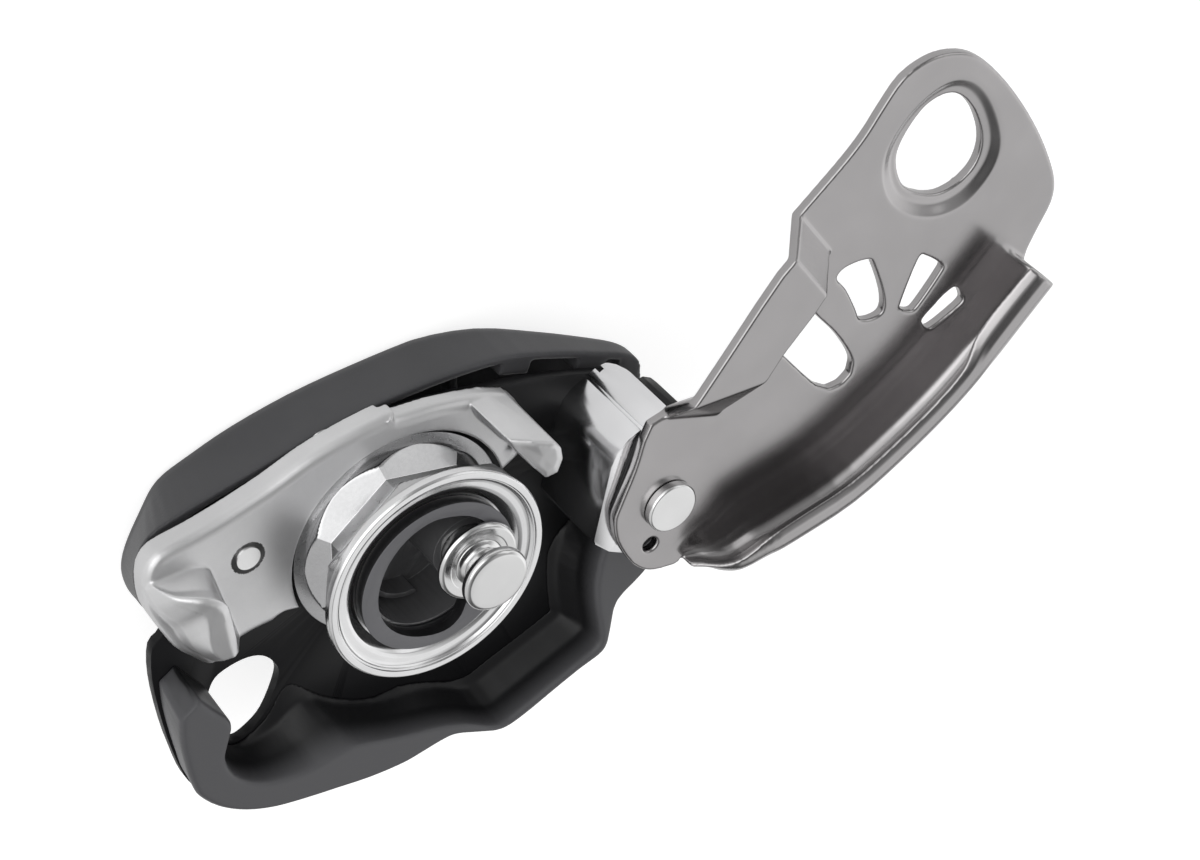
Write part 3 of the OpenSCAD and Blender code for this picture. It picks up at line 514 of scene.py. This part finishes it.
axle = revolved("axle_head", rounded([
    (0.001, 6.6), (4.1, 6.6), (4.5, 7.0), (4.5, 7.3), (3.7, 7.3), (3.7, 8.3), (4.5, 8.3), (4.5, 15.2),
    (5.5, 15.2), (5.5, 17.0), (4.5, 17.0), (4.5, 34.1), (4.15, 34.3), (3.7, 34.5), (3.35, 34.85), (3.2, 35.4),
    (3.2, 36.7), (3.5, 37.2), (4.4, 37.6), (5.7, 38.05), (6.15, 38.4), (6.15, 39.3), (5.95, 39.7), (5.4, 40.0),
    (4.2, 40.12), (2.2, 40.24), (0.001, 40.29)], 0.25, 4), STUD)
dress(axle, AXLE_STEEL)
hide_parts("axle")
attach(axle, "base")

collar = revolved("axle_collar_ring", rounded([
    (4.5, 33.05), (7.4, 33.05), (7.65, 33.3), (7.65, 33.7), (7.35, 34.1), (6.95, 34.29), (5.7, 34.3), (5.5, 34.2),
    (4.5, 34.15)], 0.12, 4, closed=True), STUD, closed=True)
dress(collar, AXLE_STEEL)
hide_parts("axle_collar")
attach(collar, "base")

rivet = revolved("hinge_rivet_head", rounded([
    (0.001, 15.2), (4.4, 15.2), (3.0, 16.5), (3.0, 36.8), (4.75, 36.8), (4.85, 36.9), (4.85, 38.1), (4.55, 38.45),
    (0.001, 38.45)], 0.2, 4), RIVET)
dress(rivet, RIVET_STEEL)
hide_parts("hinge_rivet")
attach(rivet, "base")

for node, name, voxel, smooth, mat, body, slot in (
        ("friction_plate", "brake_plate", 0.2, 12, STEEL_SATIN, "base", "satin_steel"),
        ("body_moulding", "border_moulding", 0.3, 16, MOULDING_PAINTED_SHADE, "base", "grey_moulding"),
        ("handle", "handle_shell", 0.34, 16, HANDLE_GREY, "handle_body", "grey_moulding"),
        ("moving_plate", "swinging_plate", 0.2, 36, ALLOY_MOVING, "moving_side", "moving_alloy")):
    piece = pressed(node, name, voxel, smooth, SHEET_END if node == "friction_plate" else None)
    dress(piece, mat)
    if node == "friction_plate":
        # the sunk ring round the rivet is painted dark as shade
        second_material(piece, STEEL_RING_SHADE, lambda c, n: (c.z < SUNK_RING_Z or n.z < 0.93)
                        and SUNK_RING_RADII[0] < math.dist(c.xy, PLATE_RIVET) < SUNK_RING_RADII[1])
    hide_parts(node)
    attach(piece, body)

for node, name, width, mat, body, slot in (
        ("hinge_block", "hinge_block_body", 0.5, ALLOY_BLOCK, "base", "block_alloy"),
        ("fixed_plate", "fixed_sheet", 0.3, PLATE_BLACK, "base", "black_plate"),
        ("hinge_pad", "hinge_gasket", 0.15, PAD_BLACK, "base", "black_moulding"),
        ("hinge_sleeve", "hinge_corner", 0.3, PAD_BLACK, "base", "black_moulding"),
        ("cam", "cam_cup", 0.25, CAM_BLACK, "cam_body", "black_cam"),
        ("cam_cover", "cam_ring", 0.2, COVER_GREY, "cam_body", "grey_cover")):
    piece = bevelled(node, name, width)
    dress(piece, mat)
    if node == "cam_cover":
        # the wall stands straight up to the rim
        low, high = COVER_WIDER_Z
        for v in piece.data.vertices:
            if v.co.xy.length > COVER_WALL * MM:
                v.co.xy *= 1 + COVER_WIDER * min(1, max(0, (v.co.z / MM - low) / (high - low)))
        second_material(piece, COVER_SIDE, lambda c, n: c.z < COVER_FACE_Z or n.z < 0.5)
    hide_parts(node)
    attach(piece, body)

for node, mat in (("moulding_rivets", STEEL_DULL), ("friction_rivets", RIVET_STEEL), ("spring_post", STEEL_DULL),
                  ("drive_pin", STEEL_DULL), ("cam_spring", STEEL_DULL), ("release_lever", STEEL_DULL),
                  ("lever_ring", STEEL_DULL), ("wheel_bearing", BRONZE), ("handle_pin", STEEL_DULL),
                  ("handle_washer", PAD_BLACK), ("moving_bush", STEEL_DULL)):
    dress_node(node, mat)


# ---------- stage, light, camera ----------

# floor: half its side and its depth in metres, its colour, its glow for the camera and in reflections
FLOOR_SIZE = 3.0
FLOOR_Z = -0.0002
FLOOR_GREY = (0.52, 0.52, 0.52)
FLOOR_SEEN = 0.75
FLOOR_MIRRORED = 0.45

# even part of the studio's brightness
STUDIO_BASE = 0.12

# camera fitted to the photograph: lens and sensor in mm, place in mm, directions in the part's frame
CAMERA_LENS = 108
CAMERA_SENSOR = 36
CAMERA_PLACE = (36.273818, 460.934598, 417.497465)
CAMERA_RIGHT = (0.695042, -0.45861, 0.553709)
CAMERA_UP = (0.718969, 0.443348, -0.535281)
CAMERA_AHEAD = (0, -0.770142, -0.637872)


def area(name, place, target, size, watts):
    """Rectangular lamp that faces a target; metres and watts."""
    light = bpy.data.lights.new(name, "AREA")
    light.shape = "RECTANGLE"
    light.size, light.size_y = size
    light.energy = watts
    obj = bpy.data.objects.new(name, light)
    obj.location = Vector(place)
    obj.rotation_euler = (Vector(target) - Vector(place)).to_track_quat("-Z", "Y").to_euler()
    bpy.context.collection.objects.link(obj)


def floor():
    """Pale floor that keeps the shadow; the camera and reflections see it nearly white."""
    verts = [(x * FLOOR_SIZE, y * FLOOR_SIZE, FLOOR_Z) for x, y in ((-1, -1), (1, -1), (1, 1), (-1, 1))]
    mesh = bpy.data.meshes.new("floor")
    mesh.from_pydata(verts, [], [(0, 1, 2, 3)])
    obj = bpy.data.objects.new("floor", mesh)
    bpy.context.collection.objects.link(obj)
    mat, tree, shader = material("floor_white", FLOOR_GREY, 0.0, 0.8, spec=0.0)
    path = tree.nodes.new("ShaderNodeLightPath")
    both = tree.nodes.new("ShaderNodeMath")
    both.operation = "ADD"
    for i, (ray, glow) in enumerate((("Is Camera Ray", FLOOR_SEEN), ("Is Glossy Ray", FLOOR_MIRRORED))):
        level = tree.nodes.new("ShaderNodeMapRange")
        level.inputs["To Max"].default_value = glow
        tree.links.new(path.outputs[ray], level.inputs["Value"])
        tree.links.new(level.outputs["Result"], both.inputs[i])
    shader.inputs["Emission Color"].default_value = (1, 1, 1, 1)
    tree.links.new(both.outputs[0], shader.inputs["Emission Strength"])
    obj.data.materials.append(mat)


# directions of the bright parts of the studio, cosines where they start and are full, brightness
LOBES = (
    ((0.03, -0.78, 0.63), 0.82, 0.99, 0.85),
    ((0.5, -0.35, 0.79), 0.82, 0.98, 0.35),
    ((-0.25, 0.68, 0.69), 0.6, 0.95, 0.45),
    ((-0.92, 0.15, 0.35), 0.6, 0.95, 0.65),
    ((0.92, 0.35, 0.15), 0.7, 0.95, 0.35),
    ((0.65, -0.75, 0.05), 0.75, 0.97, 1.1),
    ((-0.1, 0.93, 0.3), 0.7, 0.95, 0.9),
)


def studio():
    """Soft studio from the lobes for the object; the camera sees plain white."""
    world = bpy.data.worlds.new("studio")
    bpy.context.scene.world = world
    world.use_nodes = True
    tree = world.node_tree
    back = tree.nodes["Background"]
    coords = tree.nodes.new("ShaderNodeTexCoord")
    total = None
    for axis, start, full, gain in LOBES:
        dot = tree.nodes.new("ShaderNodeVectorMath")
        dot.operation = "DOT_PRODUCT"
        dot.inputs[1].default_value = Vector(axis).normalized()
        tree.links.new(coords.outputs["Generated"], dot.inputs[0])
        lobe = tree.nodes.new("ShaderNodeMapRange")
        lobe.interpolation_type = "SMOOTHSTEP"
        lobe.inputs["From Min"].default_value = start
        lobe.inputs["From Max"].default_value = full
        lobe.inputs["To Max"].default_value = gain
        tree.links.new(dot.outputs["Value"], lobe.inputs["Value"])
        add = tree.nodes.new("ShaderNodeMath")
        add.operation = "ADD"
        tree.links.new(lobe.outputs["Result"], add.inputs[0])
        if total is None:
            add.inputs[1].default_value = STUDIO_BASE
        else:
            tree.links.new(total, add.inputs[1])
        total = add.outputs[0]
    path = tree.nodes.new("ShaderNodeLightPath")
    pick = tree.nodes.new("ShaderNodeMix")
    pick.data_type = "FLOAT"
    pick.inputs[3].default_value = 1.0
    tree.links.new(path.outputs["Is Camera Ray"], pick.inputs[0])
    tree.links.new(total, pick.inputs[2])
    tree.links.new(pick.outputs[0], back.inputs["Strength"])
    back.inputs["Color"].default_value = (1, 1, 1, 1)


def photo_camera():
    """Camera at the photograph's viewing angle."""
    data = bpy.data.cameras.new("camera")
    data.lens = CAMERA_LENS
    data.sensor_width = CAMERA_SENSOR
    data.clip_start = 0.01
    camera = bpy.data.objects.new("camera", data)
    bpy.context.collection.objects.link(camera)
    turn = Matrix((Vector(CAMERA_RIGHT), Vector(CAMERA_UP), -Vector(CAMERA_AHEAD))).transposed()
    camera.matrix_world = Matrix.Translation(Vector(CAMERA_PLACE) * MM) @ turn.to_4x4()
    bpy.context.scene.camera = camera


floor()
studio()
area("key", (-0.22, 0.62, 0.76), (0.03, -0.01, 0.02), (1.0, 0.8), 2.0)
area("fill", (0.8, -0.1, 0.6), (0.05, -0.02, 0.02), (0.6, 0.6), 0.8)
photo_camera()
bpy.context.scene.view_settings.view_transform = "Standard"
